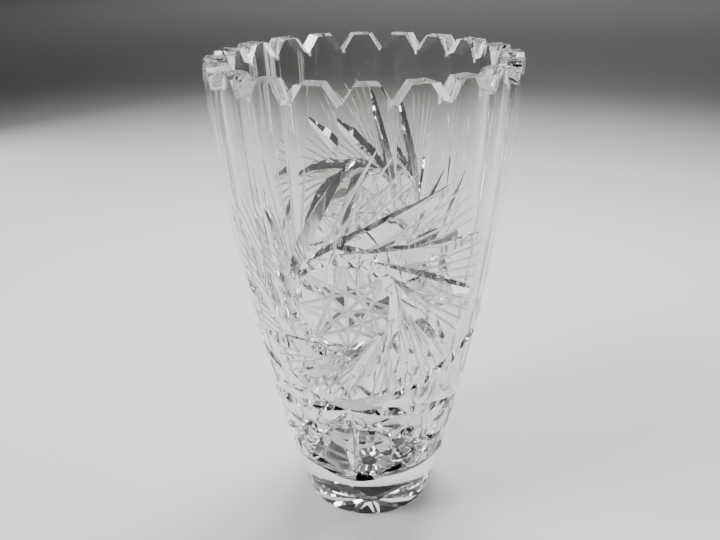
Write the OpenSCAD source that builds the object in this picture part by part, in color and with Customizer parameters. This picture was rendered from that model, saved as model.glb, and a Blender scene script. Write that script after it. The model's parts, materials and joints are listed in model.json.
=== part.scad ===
// Cut crystal vase. The vase is one piece of glass with no moving parts.
// It is drawn as five zones of that piece, stacked face to face, foot first.
// +Z is up, the origin is the centre of the face it stands on.
// Angles run from the -Y side, where one pinwheel is centred, towards +X.

/* [Body] */
// Overall height
height = 205; // [160:5:280]
// Outside radius at the rim, to the edges between panels
rim_r = 62.2; // [54:0.2:80]
// Outside radius at the standing face
foot_r = 29.6; // [25:0.2:36]
// Outward bow of the wall as a share of the rim radius
bow = 0.35; // [0.1:0.01:0.4]
// Wall thickness at the rim
wall_top = 9.6; // [7:0.2:12]
// Wall thickness just above the solid base
wall_low = 10.4; // [8:0.2:13]
// Thickness of the solid base on the axis
base_t = 20; // [14:1:22]
// Bevel round the standing face
foot_bevel = 1.2; // [0.6:0.2:2]

/* [Rim] */
// Number of rim teeth, and of flat panels below them
teeth = 20; // [16:1:24]
// Depth of the notches between teeth
notch_d = 7; // [3:0.2:9]
// Share of the tooth pitch taken by each notch
notch_share = 0.5; // [0.3:0.05:0.7]

/* [Pinwheels] */
// Number of pinwheels round the wall
wheels = 2; // [1:1:2]
// Height of the pinwheel centres as a share of the height
wheel_at = 0.589; // [0.56:0.001:0.6]
// Radius of the hub inside the vanes
hub_r = 17.8; // [14:0.2:20]
// Mean radius of the vane tips
wheel_r = 56; // [44:1:58]
// Number of vanes in a pinwheel
vanes = 12; // [8:1:14]
// Depth of a vane at its deepest
vane_d = 3.4; // [1:0.1:3.8]

/* [Swags and stars] */
// Depth of the crossed swag grooves
swag_d = 2.4; // [1:0.1:3]
// Number of stars round the lower wall
stars = 4; // [3:1:6]
// Height of the star centres as a share of the height
star_at = 0.265; // [0.25:0.005:0.275]
// Depth of a star ray at the star centre
star_d = 3.2; // [1:0.1:3.4]
// Depth of the low arcs below the stars
low_swag_d = 2.8; // [1:0.1:3]
// Turn of the stars and swags from the pinwheel centres
star_turn = -2; // [-10:1:10]

/* [Underside] */
// Number of rays cut into the underside
base_rays = 16; // [8:2:24]
// Depth of the underside rays
base_ray_d = 1.8; // [0.6:0.1:2.5]
// Turn of the underside rays from the front
base_turn = 15; // [0:1:22]

/* [Hidden] */
foot_top = 0.127 * height;
star_top = 0.341 * height;
wheel_mid = 0.61 * height;
wall_top_z = 0.888 * height;
pitch = 360 / teeth;
swag_z = 0.357 * height;
cut_flare = 1.2;
glass = [0.8, 0.88, 0.9, 0.5];

// Outside radius at height z
function skin_r(z) = let (s = z / height)
    foot_r + (rim_r - foot_r) * s + bow * rim_r * s * (1 - s);

// Wall thickness and bore radius at height z
function wall_at(z) = wall_low + (wall_top - wall_low) * z / height;
function bore_r(z) = skin_r(z) - wall_at(z);

// Outside radius of the flat-panelled wall at angle a, height z
function panel_r(a, z) = let (off = (a + 360 * 4) % pitch - pitch / 2)
    skin_r(z) * cos(pitch / 2) / cos(off);
function face_r(a, z) = z > star_top ? panel_r(a, z) : skin_r(z);

// Point on the outside at [angle, height], sunk by depth d
function spot(p) = let (r = face_r(p[0], p[1]) - p[2])
    [r * sin(p[0]), -r * cos(p[0]), p[1]];
function out_at(a) = [sin(a), -cos(a), -0.2];
function unit(v) = v / norm(v);

// Overlap of one groove past the next, so that bends come out clean
function lap(d) = 0.3 * d;

// A straight V groove whose bottom runs from p to q, each [angle, height, depth]
module groove(p, q) {
    a = spot(p);
    b = spot(q);
    along = unit(b - a);
    side = unit(cross(out_at((p[0] + q[0]) / 2), along));
    up = cross(along, side);
    reach = max(p[2], q[2]) + 3;
    multmatrix([
        [side[0], up[0], along[0], a[0]],
        [side[1], up[1], along[1], a[1]],
        [side[2], up[2], along[2], a[2]],
        [0, 0, 0, 1]])
        translate([0, 0, -lap(p[2])])
            linear_extrude(height = norm(b - a) + lap(p[2]) + lap(q[2]))
            polygon([[0, 0], [cut_flare * reach, reach], [-cut_flare * reach, reach]]);
}

// A chain of grooves through a list of points, kept to those that meet lo..hi
module groove_run(pts, lo, hi) {
    for (i = [0 : len(pts) - 2]) {
        p = pts[i];
        q = pts[i + 1];
        if (max(p[1], q[1]) > lo - 2 && min(p[1], q[1]) < hi + 2) {
            groove(p, q);
        }
    }
}

// Pinwheel vanes: leaf-shaped mitres on straight lines that pass the hub at a tangent.
// The wheel reaches higher above its centre than below it.
function vane_turn(e) = e + 3 + 4.5 * sin(2 * e + 23);
function vane_tip(e) = wheel_r * (1 + 0.136 * cos(e + 11) - 0.02 * cos(2 * e));
function vane_miss(e) = hub_r * (1.19 + 0.12 * cos(vane_turn(e) - 20));
function vane_reach(e) = sqrt(pow(vane_tip(e), 2) - pow(vane_miss(e), 2));
function vane_start() = -15.5;

// Point of wheel w, clockwise by ang from the top and r from the centre
function wheel_spot(w, ang, r, d) =
    let (z = wheel_at * height + r * cos(ang))
    [w * 360 / wheels + r * sin(ang) / skin_r(wheel_at * height) * 180 / PI, z, d];

// Point of the vane of even turn e at share t of its length
function vane_spot(w, e, t) =
    let (along = vane_start() + (vane_reach(e) - vane_start()) * t)
    let (bend = atan2(vane_reach(e), vane_miss(e)) - atan2(along, vane_miss(e)))
    wheel_spot(w, vane_turn(e) - bend, norm([along, vane_miss(e)]),
        vane_d * pow(sin(180 * t), 0.75) + 0.12);
module wheel_cuts(lo, hi) {
    for (w = [0 : wheels - 1]) {
        for (k = [0 : vanes - 1]) {
            groove_run([for (t = [0, 0.17, 0.5, 0.8, 1])
                vane_spot(w, k * 360 / vanes, t)],
                lo, hi);
        }
    }
}

// Two swag grooves crossing below each pinwheel
function swag_h(a) = swag_z - 0.00105 * height * a + 0.0000053 * height * a * a;
module swag_cuts(lo, hi) {
    for (w = [0 : wheels - 1]) {
        for (m = [-1, 1]) {
            groove_run([for (a = [-90 : 15 : 60])
                [w * 360 / wheels + star_turn + m * a, swag_h(a), a == 60 ? 0.1 : swag_d]],
                lo, hi);
        }
    }
}

// Stars round the lower wall: big eight-rayed ones with small ones between their tips
module star_ray(mid, z, dx, dz, depth, lo, hi) {
    groove_run([for (t = [0, 0.5, 1])
        [mid + dx * t, z + dz * t, depth * (1 - t) + 0.1]],
        lo, hi);
}
module big_star(mid, lo, hi) {
    z = star_at * height;
    half = 180 / stars;
    star_ray(mid, z, 0, 0.088 * height, star_d, lo, hi);
    star_ray(mid, z, 0, -0.125 * height, star_d, lo, hi);
    for (m = [-1, 1]) {
        star_ray(mid, z, m * half, 0.008 * height, star_d, lo, hi);
        star_ray(mid, z, m * half * 0.58, 0.062 * height, star_d * 0.9, lo, hi);
        groove_run([for (t = [0, 0.25, 0.5, 0.75, 1])
            [mid + m * half * 0.82 * t, (0.338 - 0.192 * t) * height,
                star_d * pow(sin(180 * t), 0.6) + 0.1]],
            lo, hi);
    }
}
module small_star(mid, lo, hi) {
    z = low_swag_h(180 / stars) + 0.8;
    half = 180 / stars;
    depth = star_d * 0.8;
    star_ray(mid, z, 0, 0.065 * height, depth, lo, hi);
    star_ray(mid, z, 0, -0.065 * height, depth, lo, hi);
    for (m = [-1, 1]) {
        star_ray(mid, z, m * half * 0.49, -0.004 * height, depth, lo, hi);
        star_ray(mid, z, m * half * 0.38, -0.06 * height, depth, lo, hi);
        star_ray(mid, z, m * half * 0.38, 0.05 * height, depth, lo, hi);
    }
}

// Low arcs below the stars, crossing between them
function low_swag_h(a) = (0.137 + 0.073 * pow(a * stars / 180, 2)) * height;
module low_swags(lo, hi) {
    for (s = [0 : stars - 1]) {
        groove_run([for (t = [-5 : 5])
            let (a = t * 46 / stars)
            [star_turn + s * 360 / stars + a, low_swag_h(a), abs(t) == 5 ? 0.1 : low_swag_d]],
            lo, hi);
    }
}
module star_cuts(lo, hi) {
    for (s = [0 : stars - 1]) {
        big_star(star_turn + s * 360 / stars, lo, hi);
        small_star(star_turn + (s + 0.5) * 360 / stars, lo, hi);
    }
}

// Solid frustum between two heights, and the matching bore
module frustum(lo, hi, r1, r2) {
    translate([0, 0, lo])
        cylinder(h = hi - lo, r1 = r1, r2 = r2, $fn = 96);
}
module bore(lo, hi) {
    slope = (bore_r(hi) - bore_r(lo)) / (hi - lo);
    frustum(lo - 1, hi + 1, bore_r(lo) - slope, bore_r(hi) + slope);
}

// Flat cuts that turn a round zone into a ring of flat panels
module panel_cuts(lo, hi) {
    flat_lo = skin_r(lo) * cos(pitch / 2);
    flat_hi = skin_r(hi) * cos(pitch / 2);
    lean = atan((flat_hi - flat_lo) / (hi - lo));
    for (k = [0 : teeth - 1]) {
        rotate([0, 0, (k + 0.5) * pitch])
            translate([0, -flat_lo, lo])
                rotate([lean, 0, 0])
                    translate([-rim_r / 2, -20, -10])
                        cube([rim_r, 20, hi - lo + 20]);
    }
}
module panelled_zone(lo, hi) {
    difference() {
        frustum(lo, hi, skin_r(lo) + 2, skin_r(hi) + 2);
        bore(lo, hi);
        panel_cuts(lo, hi);
    }
}

// V notches between the rim teeth
module notches() {
    half = notch_share * PI * rim_r / teeth;
    over = 2;
    for (k = [0 : teeth - 1]) {
        rotate([0, 0, k * pitch])
            translate([0, -bore_r(height) + 8, height - notch_d])
                rotate([90, 0, 0])
                    linear_extrude(height = wall_top + 14)
                        polygon([[0, 0],
                            [half * (notch_d + over) / notch_d, notch_d + over],
                            [-half * (notch_d + over) / notch_d, notch_d + over]]);
    }
}

// Rays under the foot
module underside_rays() {
    for (k = [0 : base_rays - 1]) {
        rotate([90, 0, base_turn + k * 360 / base_rays])
            translate([0, base_ray_d, 4])
                linear_extrude(height = foot_r + 4)
                    polygon([[0, 0],
                        [base_ray_d + 1, -base_ray_d - 1],
                        [-base_ray_d - 1, -base_ray_d - 1]]);
    }
}

// Foot: plain ring round a thick solid base, the bottom of the bore in its top
module foot() {
    color(glass)
        difference() {
            rotate_extrude($fn = 96)
                polygon([
                    [0, 0],
                    [foot_r - foot_bevel, 0],
                    [foot_r, foot_bevel],
                    [skin_r(foot_top * 0.5), foot_top * 0.5],
                    [skin_r(foot_top), foot_top],
                    [bore_r(foot_top), foot_top],
                    [bore_r(foot_top) - 4.6, base_t + 1.8],
                    [bore_r(foot_top) - 11, base_t + 0.3],
                    [0, base_t]]);
            underside_rays();
            low_swags(0, foot_top + 2);
        }
}

// Star band: round lower wall with the stars and the lower ends of the swags
module star_band() {
    color(glass)
        difference() {
            frustum(foot_top, star_top, skin_r(foot_top), skin_r(star_top));
            bore(foot_top, star_top);
            star_cuts(foot_top, star_top);
            low_swags(foot_top, star_top);
            swag_cuts(foot_top, star_top);
        }
}

// Lower half of the pinwheels, with the swags below them
module pinwheel_wall() {
    color(glass)
        difference() {
            panelled_zone(star_top, wheel_mid);
            wheel_cuts(star_top, wheel_mid);
            swag_cuts(star_top, wheel_mid);
        }
}

// Upper half of the pinwheels on the flat panels
module panel_wall() {
    color(glass)
        difference() {
            panelled_zone(wheel_mid, wall_top_z);
            wheel_cuts(wheel_mid, wall_top_z);
        }
}

// Rim: plain flat panels ending in flat-topped teeth
module toothed_rim() {
    color(glass)
        difference() {
            panelled_zone(wall_top_z, height);
            notches();
        }
}

foot();
star_band();
pinwheel_wall();
panel_wall();
toothed_rim();
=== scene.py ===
"""Looks of the cut crystal vase: one continuous glass surface with its cuts, shown as five named zones."""

import json
import math

import bmesh
import bpy
import numpy as np
from mathutils import Euler, Matrix, Vector

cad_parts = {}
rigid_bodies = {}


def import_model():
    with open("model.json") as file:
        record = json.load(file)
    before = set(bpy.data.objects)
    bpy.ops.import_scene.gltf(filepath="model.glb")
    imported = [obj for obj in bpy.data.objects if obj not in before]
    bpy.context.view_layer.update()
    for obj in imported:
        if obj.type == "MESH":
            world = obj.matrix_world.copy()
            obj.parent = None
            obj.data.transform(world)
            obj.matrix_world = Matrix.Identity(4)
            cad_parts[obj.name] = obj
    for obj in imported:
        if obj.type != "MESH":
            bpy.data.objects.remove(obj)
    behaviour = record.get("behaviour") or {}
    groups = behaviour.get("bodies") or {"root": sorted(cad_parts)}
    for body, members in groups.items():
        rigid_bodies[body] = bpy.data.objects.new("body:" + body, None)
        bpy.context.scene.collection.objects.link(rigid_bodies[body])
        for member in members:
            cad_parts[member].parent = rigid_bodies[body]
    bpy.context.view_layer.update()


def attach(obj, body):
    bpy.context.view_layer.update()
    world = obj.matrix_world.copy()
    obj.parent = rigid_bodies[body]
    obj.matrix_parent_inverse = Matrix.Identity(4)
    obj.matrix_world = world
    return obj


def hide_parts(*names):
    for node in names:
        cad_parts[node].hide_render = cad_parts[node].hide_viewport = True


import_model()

# ---------------------------------------------------------------- body sizes, in millimetres, as in part.scad
MM = 0.001
HEIGHT = 205.0
RIM_R = 62.2
FOOT_R = 29.6
BOW = 0.35
WALL_TOP = 9.6
WALL_LOW = 10.4
BASE_T = 20.0
FOOT_BEVEL = 1.2
TEETH = 20
PITCH = 360.0 / TEETH
NODES = ["foot", "star_band", "pinwheel_wall", "panel_wall", "toothed_rim"]
ZONE_TOPS = [0.127 * HEIGHT, 0.341 * HEIGHT, 0.61 * HEIGHT, 0.888 * HEIGHT]

# Details of the body that only the visual model has
PANELS_FADE = (0.33 * HEIGHT, 0.36 * HEIGHT)  # where the flat panels run out
PANEL_MEAN = 0.9918  # mean radius of a panelled ring over its corner radius
BOWL_TOP = BASE_T + 9.0  # where the rounded bottom of the bowl meets the wall
BOWL_ROUND = 0.8  # power of the bowl's rounded corner, 1 for an ellipse and less for a squarer corner
ROUND_N = TEETH * 10  # points round each ring of the blank

# ---------------------------------------------------------------- cuts, in millimetres and degrees
# They lie where part.scad has them, within a few millimetres at their ends.
# Their depths are set for the look, within 1 mm of part.scad's.
# The fine lines of the fans and the hub nets are only here.
NOTCH_D = 7.0
NOTCH_SHARE = 0.5
WHEELS = 2
WHEEL_Z = 0.589 * HEIGHT
HUB_R = 17.8
WHEEL_R = 56.0
VANES = 12
VANE_D = 3.6
VANE_START = -15.5  # where a vane starts, along its line from the point nearest the hub's centre
FAN_LINES = 4
FAN_FROM_R = 24.0  # how far from the hub's centre the fine lines start
FAN_D = 0.62
NET_NODES = 8
NET_SIZE = 1.1  # radius of the net over that of the hub
NET_D = 0.65
SWAG_Z = 0.357 * HEIGHT
SWAG_D = 2.4
SWAG_FROM, SWAG_TO = -92, 64  # degrees round from the big star under the pinwheel
SWAG_FADE = 18  # degrees over which a swag runs out
STARS = 4
STAR_HALF = 180.0 / STARS
STAR_Z = 0.265 * HEIGHT
STAR_TURN = -2.0  # turn of the stars and swags from the pinwheel centres
ARM_TURN = 37  # degrees that a big star's arm reaches round
ARM_D = 3.2
LOW_SWAG_TURN = 57  # degrees that a low arc reaches each way
LOW_SWAG_FADE = 12
LOW_SWAG_D = 2.8
SMALL_STAR_UP = 0.8  # how far a small star's centre lies above the crossing of the low arcs
BASE_RAYS = 16
BASE_RAY_D = 1.8
BASE_TURN = 15.0
BASE_RAY_FROM = 4.0  # how far from the axis an underside ray starts
CUT_OVER = 4.0  # how far a straight cutter runs past the outside
NOTCH_IN = 8.0  # how far a notch's cutter runs into the bore
END_RISE = 0.05  # how far a cut's bottom lifts clear of the glass at its end

# ---------------------------------------------------------------- how the surface is shaded
SKIN, BORE, CUT, SATIN = range(4)  # what each face of the glass is
SHARP_ANGLE = math.radians(14)
EXACT_FROM = 2.0  # height, just above the foot's bevel, from which the outside takes its exact normal


def skin_r(z):
    s = z / HEIGHT
    return FOOT_R + (RIM_R - FOOT_R) * s + BOW * RIM_R * s * (1 - s)


def skin_slope(z):
    s = z / HEIGHT
    return ((RIM_R - FOOT_R) + BOW * RIM_R * (1 - 2 * s)) / HEIGHT


def bore_r(z):
    return skin_r(z) - (WALL_LOW + (WALL_TOP - WALL_LOW) * z / HEIGHT)


def panelled(z):
    """How far the wall at this height is flat panels, 0 to 1."""
    t = min(max((z - PANELS_FADE[0]) / (PANELS_FADE[1] - PANELS_FADE[0]), 0.0), 1.0)
    return t * t * (3 - 2 * t)


def face_r(a, z):
    """Outside radius at angle a (degrees) and height z."""
    off = a % PITCH - PITCH / 2
    flat = math.cos(math.radians(PITCH / 2)) / math.cos(math.radians(off))
    return skin_r(z) * (1 + (flat - 1) * panelled(z))


def mean_r(a, z):
    """Outside radius at height z, with the panels evened out; the angle a doesn't matter."""
    return skin_r(z) * (1 + (PANEL_MEAN - 1) * panelled(z))


def at(a, z, r):
    """Point at angle a (degrees), height z and radius r."""
    a = math.radians(a)
    return np.array([r * math.sin(a), -r * math.cos(a), z])


# ---------------------------------------------------------------- blank and cutters
def mesh_object(name, verts, faces, origins):
    me = bpy.data.meshes.new(name)
    me.from_pydata([tuple(v) for v in np.asarray(verts) * MM], [], faces)
    kind = me.attributes.new("origin", "INT", "FACE")
    kind.data.foreach_set("value", origins)
    me.update()
    return bpy.data.objects.new(name, me)


def cutter(verts, faces, kind):
    """A closed cutter whose faces all look outward, whichever way round they were listed."""
    v = np.asarray(verts)
    middle = v.mean(0)
    volume = 0.0
    for f in faces:
        for i in range(1, len(f) - 1):
            volume += np.dot(v[f[0]] - middle, np.cross(v[f[i]] - middle, v[f[i + 1]] - middle))
    if volume < 0:
        faces = [tuple(reversed(f)) for f in faces]
    return mesh_object("cutter", v, faces, [kind] * len(faces))


def blank_rings():
    """The profile as (radius, height, kind), up the outside and down the bore; None is a panelled ring."""
    rings = []
    for t in np.linspace(0, 1, 6):
        turn = t * math.pi / 2
        r = skin_r(FOOT_BEVEL) - FOOT_BEVEL * (1 - math.sin(turn))
        rings.append((r, FOOT_BEVEL * (1 - math.cos(turn)), SKIN))
    for z in np.linspace(FOOT_BEVEL, HEIGHT, 90)[1:]:
        rings.append((None, z, SKIN))
    for z in np.linspace(HEIGHT, BOWL_TOP, 64):
        rings.append((bore_r(z), z, BORE))
    for t in np.linspace(0, 1, 16)[1:-1]:
        turn = t * math.pi / 2
        r = bore_r(BOWL_TOP) * math.cos(turn) ** BOWL_ROUND
        rings.append((r, BOWL_TOP - (BOWL_TOP - BASE_T) * math.sin(turn) ** BOWL_ROUND, BORE))
    return rings


def blank():
    """The uncut glass: panelled outside, round bore with a rounded bottom, solid base."""
    rings = blank_rings()
    angles = [i * 360.0 / ROUND_N for i in range(ROUND_N)]
    verts, faces, origins = [], [], []
    for r, z, _ in rings:
        for a in angles:
            verts.append(at(a, z, face_r(a, z) if r is None else r))
    for j in range(len(rings) - 1):
        for i in range(ROUND_N):
            k = (i + 1) % ROUND_N
            faces.append((j * ROUND_N + i, j * ROUND_N + k, (j + 1) * ROUND_N + k, (j + 1) * ROUND_N + i))
            same = rings[j][2] == rings[j + 1][2]
            origins.append(rings[j][2] if same else CUT)
    under, inside = len(verts), len(verts) + 1
    verts += [np.array([0, 0, 0]), np.array([0, 0, BASE_T])]
    last = (len(rings) - 1) * ROUND_N
    for i in range(ROUND_N):
        k = (i + 1) % ROUND_N
        faces.append((under, k, i))
        origins.append(CUT)
        faces.append((inside, last + i, last + k))
        origins.append(BORE)
    return mesh_object("blank", verts, faces, origins)


def sweep(path, flares=(1.1, 1.1), follow=False, kind=CUT):
    """A V-shaped cutter along [(angle, height, depth), ...]; flares are its half widths per unit of height.

    A fine line follows the panels, and a deep cut takes their mean radius."""
    radius = face_r if follow else mean_r
    clear = 0.9 if follow else 1.6
    points = [at(a, z, radius(a, z)) for a, z, _ in path]
    verts, faces = [], []
    for i, (a, z, depth) in enumerate(path):
        along = points[min(i + 1, len(path) - 1)] - points[max(i - 1, 0)]
        along /= np.linalg.norm(along)
        out = at(a, -skin_slope(z), 1.0)
        out /= np.linalg.norm(out)
        side = np.cross(out, along)
        side /= np.linalg.norm(side)
        bottom = points[i] - out * depth
        up = max(depth, 0.0) + clear
        verts.append(bottom)
        verts.append(bottom + out * up + side * up * flares[0])
        verts.append(bottom + out * up - side * up * flares[1])
    for i in range(len(path) - 1):
        for j in range(3):
            k = (j + 1) % 3
            faces.append((i * 3 + j, i * 3 + k, (i + 1) * 3 + k, (i + 1) * 3 + j))
    end = (len(path) - 1) * 3
    faces += [(2, 1, 0), (end, end + 1, end + 2)]
    return cutter(verts, faces, kind)


def prism(corners, axis_from, axis_to, across, upward):
    """A straight cutter: 2-D corners along across and upward, run from one point to another."""
    n = len(corners)
    verts = [p + across * x + upward * y for p in (axis_from, axis_to) for x, y in corners]
    faces = [(i, (i + 1) % n, n + (i + 1) % n, n + i) for i in range(n)]
    faces += [tuple(reversed(range(n))), tuple(range(n, 2 * n))]
    return cutter(verts, faces, CUT)


# ---------------------------------------------------------------- pinwheels and their hubs
def wheel_point(w, turn, r):
    """Angle and height of the point of pinwheel w at this clockwise turn from the top and distance r."""
    t = math.radians(turn)
    z = WHEEL_Z + r * math.cos(t)
    return w * 360.0 / WHEELS + math.degrees(r * math.sin(t) / skin_r(WHEEL_Z)), z


def flat_point(turn, r):
    """The same point on the wheel's own flat plane, as (across, up)."""
    return np.array([math.sin(math.radians(turn)), math.cos(math.radians(turn))]) * r


def vane_tip(k):
    """Turn and distance from the hub of the tip of vane k; the wheel reaches higher than it reaches down."""
    even = k * 360.0 / VANES
    reach = 1 + 0.136 * math.cos(math.radians(even + 11)) - 0.02 * math.cos(math.radians(2 * even))
    return even + 3 + 4.5 * math.sin(math.radians(2 * even + 23)), WHEEL_R * reach


def vane(w, k):
    """A leaf-shaped mitre along a straight line that passes the hub at a tangent."""
    turn, tip = vane_tip(k)
    miss = HUB_R * (1.19 + 0.12 * math.cos(math.radians(turn - 20)))
    reach = math.sqrt(tip * tip - miss * miss)
    path = []
    for t in np.linspace(0.01, 1, 30):
        s = VANE_START + (reach - VANE_START) * t
        back = math.degrees(math.atan2(reach, miss) - math.atan2(s, miss))
        a, z = wheel_point(w, turn - back, math.hypot(s, miss))
        path.append((a, z, VANE_D * math.sin(math.pi * t) ** 0.75 - END_RISE))
    return sweep(path, (1.2, 1.4))


def fan_line(w, k, j):
    """Fine straight line j of those that fan out behind vane k, each a little further round."""
    turn, tip = vane_tip(k)
    start = flat_point(turn - 26 + 4.5 * j, FAN_FROM_R)
    end = flat_point(turn + 5.5 + 4.6 * j, tip * (1.05 - 0.03 * j))
    path = []
    for t in np.linspace(0, 1, 16):
        x, y = start + (end - start) * t
        a, z = wheel_point(w, math.degrees(math.atan2(x, y)), math.hypot(x, y))
        path.append((a, z, FAN_D * min(1, 4 * (1 - t) + 0.02) ** 0.6 - 0.03))
    return sweep(path, (1.0, 1.0), follow=True, kind=SATIN)


def net_line(w, i, step):
    """A fine line of the hub's net, from its point i to the one that is step further round."""
    start, end = [flat_point(n * 360.0 / NET_NODES, HUB_R) * NET_SIZE for n in (i, i + step)]
    path = []
    for t in np.linspace(-0.02, 1.02, 20):
        x, y = start + (end - start) * t
        a, z = wheel_point(w, math.degrees(math.atan2(x, y)), math.hypot(x, y))
        path.append((a, z, NET_D))
    return sweep(path, (1.2, 1.2), follow=True, kind=SATIN)


def pinwheel(w):
    cuts = [vane(w, k) for k in range(VANES)]
    cuts += [fan_line(w, k, j) for k in range(VANES) for j in range(FAN_LINES)]
    cuts += [net_line(w, i, 3) for i in range(NET_NODES)]
    cuts += [net_line(w, i, NET_NODES // 2) for i in range(NET_NODES // 2)]
    return cuts


# ---------------------------------------------------------------- swags, stars, rim and underside
def swag(w, m):
    """A groove that crosses its mirror image under pinwheel w and rises round the side; m is -1 or 1."""
    path = []
    for a in np.linspace(SWAG_FROM, SWAG_TO, 60):
        z = SWAG_Z + HEIGHT * (-0.00105 * a + 0.0000053 * a * a)
        depth = SWAG_D * min(1.0, (SWAG_TO - a) / SWAG_FADE) - END_RISE
        path.append((w * 360.0 / WHEELS + STAR_TURN + m * a, z, depth))
    return sweep(path)


def ray(mid, z, da, dz, depth, flare=1.25):
    """A star ray from (mid, z), shallower and narrower towards its tip."""
    path = []
    for t in np.linspace(0, 1, 12):
        path.append((mid + da * t, z + dz * t, depth * (1 - t**1.4) - END_RISE * t))
    return sweep(path, (flare, flare))


def arm(mid, m):
    """A leaf-shaped mitre from above the star centre down to the low arc."""
    path = []
    for t in np.linspace(0.01, 0.99, 24):
        depth = ARM_D * math.sin(math.pi * t) ** 0.6 - END_RISE
        path.append((mid + m * ARM_TURN * t, HEIGHT * (0.338 - 0.192 * t), depth))
    return sweep(path, (1.2, 1.2))


def low_swag_z(a):
    """Height of a low arc at a degrees from its middle."""
    return HEIGHT * (0.137 + 0.073 * (a * STARS / 180.0) ** 2)


def big_star(mid):
    rays = [ray(mid, STAR_Z, 0, 0.09 * HEIGHT, 3.0), ray(mid, STAR_Z, 0, -0.125 * HEIGHT, 3.2)]
    for m in (-1, 1):
        rays.append(ray(mid, STAR_Z, m * STAR_HALF, 0.008 * HEIGHT, 4.0, 1.9))
        rays.append(arm(mid, m))
        rays.append(ray(mid, STAR_Z, m * 26, 0.062 * HEIGHT, 2.8))
    return rays


def small_star(mid):
    z = low_swag_z(STAR_HALF) + SMALL_STAR_UP
    rays = [ray(mid, z, 0, dz * HEIGHT, 2.6) for dz in (-0.07, 0.07)]
    for m in (-1, 1):
        rays.append(ray(mid, z, m * 22, -0.004 * HEIGHT, 2.6))
        rays += [ray(mid, z, m * 17, dz * HEIGHT, 2.4) for dz in (-0.06, 0.05)]
    return rays


def low_swag(mid):
    path = []
    for a in np.linspace(-LOW_SWAG_TURN, LOW_SWAG_TURN, 44):
        depth = LOW_SWAG_D * min(1.0, (LOW_SWAG_TURN - abs(a)) / LOW_SWAG_FADE) - END_RISE
        path.append((mid + a, low_swag_z(a), depth))
    return sweep(path, (1.2, 1.2))


def star_band():
    cuts = []
    for i in range(STARS):
        mid = STAR_TURN + i * 360.0 / STARS
        cuts += big_star(mid) + small_star(mid + STAR_HALF) + [low_swag(mid)]
    return cuts


def cut_axes(turn):
    """Outward, sideways and upward unit vectors at an angle round the vase."""
    return at(turn, 0, 1.0), at(turn + 90, 0, 1.0), np.array([0, 0, 1.0])


def notch(k):
    """The V between two rim teeth, over an edge between panels."""
    half = NOTCH_SHARE * math.pi * RIM_R / TEETH
    rise = NOTCH_D + 2
    out, across, up = cut_axes(k * PITCH)
    bottom = up * (HEIGHT - NOTCH_D)
    corners = [(0, 0), (half * rise / NOTCH_D, rise), (-half * rise / NOTCH_D, rise)]
    outer = bottom + out * (RIM_R + CUT_OVER)
    inner = bottom + out * (bore_r(HEIGHT) - NOTCH_IN)
    return prism(corners, outer, inner, across, up)


def under_ray(k):
    """A ray of the star under the foot."""
    out, across, up = cut_axes(BASE_TURN + k * 360.0 / BASE_RAYS)
    d = BASE_RAY_D
    corners = [(0, d), (-d - 1, -1), (d + 1, -1)]
    return prism(corners, out * (FOOT_R + CUT_OVER), out * BASE_RAY_FROM, across, up)


def all_cutters():
    cutters = []
    for w in range(WHEELS):
        cutters += pinwheel(w) + [swag(w, m) for m in (-1, 1)]
    cutters += star_band()
    cutters += [notch(k) for k in range(TEETH)]
    cutters += [under_ray(k) for k in range(BASE_RAYS)]
    return cutters


def carve():
    """Cuts every groove and notch out of the blank and returns the one closed mesh."""
    body = blank()
    bpy.context.scene.collection.objects.link(body)
    bench = bpy.data.collections.new("bench")
    bpy.context.scene.collection.children.link(bench)
    for c in all_cutters():
        bench.objects.link(c)
    cut = body.modifiers.new("cut", "BOOLEAN")
    cut.operation = "DIFFERENCE"
    cut.operand_type = "COLLECTION"
    cut.collection = bench
    cut.solver = "MANIFOLD"
    depsgraph = bpy.context.evaluated_depsgraph_get()
    carved = body.evaluated_get(depsgraph)
    mesh = bpy.data.meshes.new_from_object(carved, preserve_all_data_layers=True, depsgraph=depsgraph)
    for o in list(bench.objects) + [body]:
        old = o.data
        bpy.data.objects.remove(o)
        bpy.data.meshes.remove(old)
    bpy.data.collections.remove(bench)
    return mesh


# ---------------------------------------------------------------- the glass in zones
def split(mesh):
    """Cuts the surface at the zone heights, without closing it; returns one mesh and its normals."""
    bm = bmesh.new()
    bm.from_mesh(mesh)
    for z in ZONE_TOPS:
        everything = bm.verts[:] + bm.edges[:] + bm.faces[:]
        bmesh.ops.bisect_plane(bm, geom=everything, dist=1e-7, plane_co=(0, 0, z * MM), plane_no=(0, 0, 1))
    bmesh.ops.triangulate(bm, faces=[f for f in bm.faces if len(f.verts) > 4])
    whole = bpy.data.meshes.new("whole")
    bm.to_mesh(whole)
    bm.free()
    for p in whole.polygons:
        p.use_smooth = True
    whole.set_sharp_from_angle(angle=SHARP_ANGLE)
    corner = np.zeros(len(whole.loops) * 3, np.float32)
    whole.corner_normals.foreach_get("vector", corner)
    origin = np.zeros(len(whole.polygons), int)
    whole.attributes["origin"].data.foreach_get("value", origin)
    co = np.zeros(len(whole.vertices) * 3, np.float32)
    whole.vertices.foreach_get("co", co)
    return whole, corner.reshape(-1, 3), origin, co.reshape(-1, 3)


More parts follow.
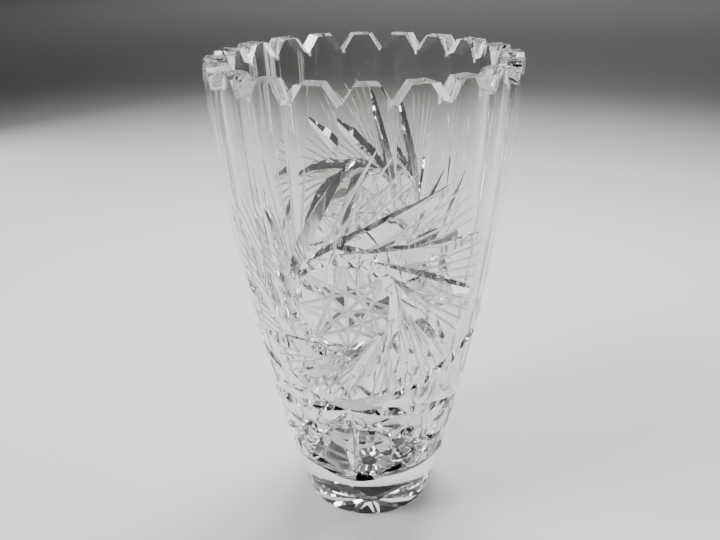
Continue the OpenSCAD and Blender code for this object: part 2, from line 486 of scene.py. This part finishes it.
def true_normal(kind, p, centre):
    """The exact normal of the uncut outside or bore at point p of the face around centre, or None."""
    x, y, z = p / MM
    a = math.atan2(x, -y)
    if kind == BORE:
        if z < BOWL_TOP + 0.01:
            return None
        slope = skin_slope(z) + (WALL_LOW - WALL_TOP) / HEIGHT
        n = np.array([-math.sin(a), math.cos(a), slope])
        return n / np.linalg.norm(n)
    if z < EXACT_FROM:
        return None
    flat = panelled(z)
    if flat > 0:
        middle = math.atan2(centre[0], -centre[1])
        panel = math.radians((math.floor(math.degrees(middle) / PITCH) + 0.5) * PITCH)
        if abs(panel - a) < math.pi:
            a = a + (panel - a) * flat
    n = np.array([math.sin(a), -math.cos(a), -skin_slope(z)])
    return n / np.linalg.norm(n)


def zone_mesh(node, polys, whole, corner, origin, co):
    """The faces of one zone as their own mesh, with the normals of the whole surface."""
    used, verts, faces, normals, slots = {}, [], [], [], []
    for p in polys:
        face = []
        kind = int(origin[p.index])
        centre = np.array(p.center)
        for loop in p.loop_indices:
            v = whole.loops[loop].vertex_index
            if v not in used:
                used[v] = len(verts)
                verts.append(tuple(co[v]))
            face.append(used[v])
            exact = true_normal(kind, co[v].astype(float), centre) if kind in (SKIN, BORE) else None
            normals.append(tuple(corner[loop]) if exact is None else tuple(exact))
        faces.append(face)
        slots.append(1 if kind == SATIN else 0)
    me = bpy.data.meshes.new("glass_" + node)
    me.from_pydata(verts, [], faces)
    me.update()
    for m in (polished, satin):
        me.materials.append(m)
    me.polygons.foreach_set("material_index", slots)
    me.polygons.foreach_set("use_smooth", [True] * len(faces))
    me.normals_split_custom_set(normals)
    return me


def glass_zones():
    """One piece of glass for each CAD node, which it replaces."""
    whole, corner, origin, co = split(carve())
    zone_faces = [[] for _ in NODES]
    for p in whole.polygons:
        z = p.center[2] / MM
        zone_faces[sum(z > top for top in ZONE_TOPS)].append(p)
    for node, polys in zip(NODES, zone_faces):
        ob = bpy.data.objects.new("glass_" + node, zone_mesh(node, polys, whole, corner, origin, co))
        bpy.context.scene.collection.objects.link(ob)
        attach(ob, "root")
        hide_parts(node)
    bpy.data.meshes.remove(whole)


# ---------------------------------------------------------------- materials
def principled(name):
    m = bpy.data.materials.new(name)
    m.use_nodes = True
    return m, m.node_tree.nodes["Principled BSDF"]


def crystal(name, roughness, tint):
    m, p = principled(name)
    p.inputs["Base Color"].default_value = (*tint, 1)
    p.inputs["Roughness"].default_value = roughness
    p.inputs["IOR"].default_value = 1.545
    p.inputs["Transmission Weight"].default_value = 1.0
    return m


polished = crystal("polished_crystal", roughness=0.0, tint=(0.92, 0.93, 0.915))
satin = crystal("satin_cut", roughness=0.45, tint=(0.8, 0.81, 0.8))
glass_zones()


# ---------------------------------------------------------------- floor, light, camera
FLOOR_HALF = 4.0  # metres
CAMERA_TURN = math.radians(8.1)  # round from the front, towards the right
CAMERA_DIST = 4.789 * RIM_R * MM  # from the vase's axis, along the floor
CAMERA_RISE = 4.0725 * RIM_R * MM
CAMERA_DOWN = 0.4415  # radians below level
CAMERA_ASIDE = 0.0096  # radians left of the vase's axis
CAMERA_ROLL = -0.0181  # radians
CAMERA_LENS = 37.45  # millimetres, on a sensor 36 mm wide


def floor():
    s = FLOOR_HALF
    me = bpy.data.meshes.new("floor")
    me.from_pydata([(-s, -s, 0), (s, -s, 0), (s, s, 0), (-s, s, 0)], [], [(0, 1, 2, 3)])
    m, p = principled("pale_floor")
    p.inputs["Base Color"].default_value = (0.44, 0.44, 0.43, 1)
    p.inputs["Roughness"].default_value = 0.8
    me.materials.append(m)
    ob = bpy.data.objects.new("floor", me)
    bpy.context.scene.collection.objects.link(ob)


def soft_box(name, place, aim, size, power, spread=180):
    """An area light, in metres, watts and degrees."""
    data = bpy.data.lights.new(name, "AREA")
    data.shape = "RECTANGLE"
    data.size, data.size_y = size
    data.energy = power
    data.spread = math.radians(spread)
    ob = bpy.data.objects.new(name, data)
    ob.location = place
    ob.rotation_euler = (Vector(aim) - Vector(place)).to_track_quat("-Z", "Y").to_euler()
    bpy.context.scene.collection.objects.link(ob)


def studio():
    world = bpy.data.worlds.new("studio")
    world.use_nodes = True
    world.node_tree.nodes["Background"].inputs["Color"].default_value = (0.04, 0.04, 0.04, 1)
    bpy.context.scene.world = world
    soft_box("key", place=(-0.5, -0.3, 0.7), aim=(0, 0, 0.08), size=(0.3, 0.4), power=4.5, spread=110)
    soft_box("top", place=(0.05, 0.5, 0.85), aim=(0, 0.12, 0), size=(0.6, 0.3), power=7, spread=100)
    soft_box("right", place=(0.65, 0.2, 0.35), aim=(0, 0, 0.12), size=(0.15, 0.6), power=4)
    soft_box("left", place=(-0.6, 0.45, 0.35), aim=(0, 0, 0.12), size=(0.12, 0.5), power=3)
    soft_box("far_floor", place=(0, 2.4, 1.6), aim=(0, 2.4, 0), size=(2.5, 1.2), power=7, spread=120)


def camera():
    turn = CAMERA_TURN
    data = bpy.data.cameras.new("camera")
    data.sensor_width = 36.0
    data.lens = CAMERA_LENS
    cam = bpy.data.objects.new("camera", data)
    place = Matrix.Translation((CAMERA_DIST * math.sin(turn), -CAMERA_DIST * math.cos(turn), CAMERA_RISE))
    level = Euler((math.pi / 2 - CAMERA_DOWN, 0.0, turn + CAMERA_ASIDE)).to_matrix()
    cam.matrix_world = place @ (level @ Matrix.Rotation(CAMERA_ROLL, 3, "Z")).to_4x4()
    bpy.context.scene.collection.objects.link(cam)
    bpy.context.scene.camera = cam


floor()
studio()
camera()
cycles = bpy.context.scene.cycles
cycles.max_bounces = 24
cycles.transmission_bounces = 24
cycles.glossy_bounces = 12
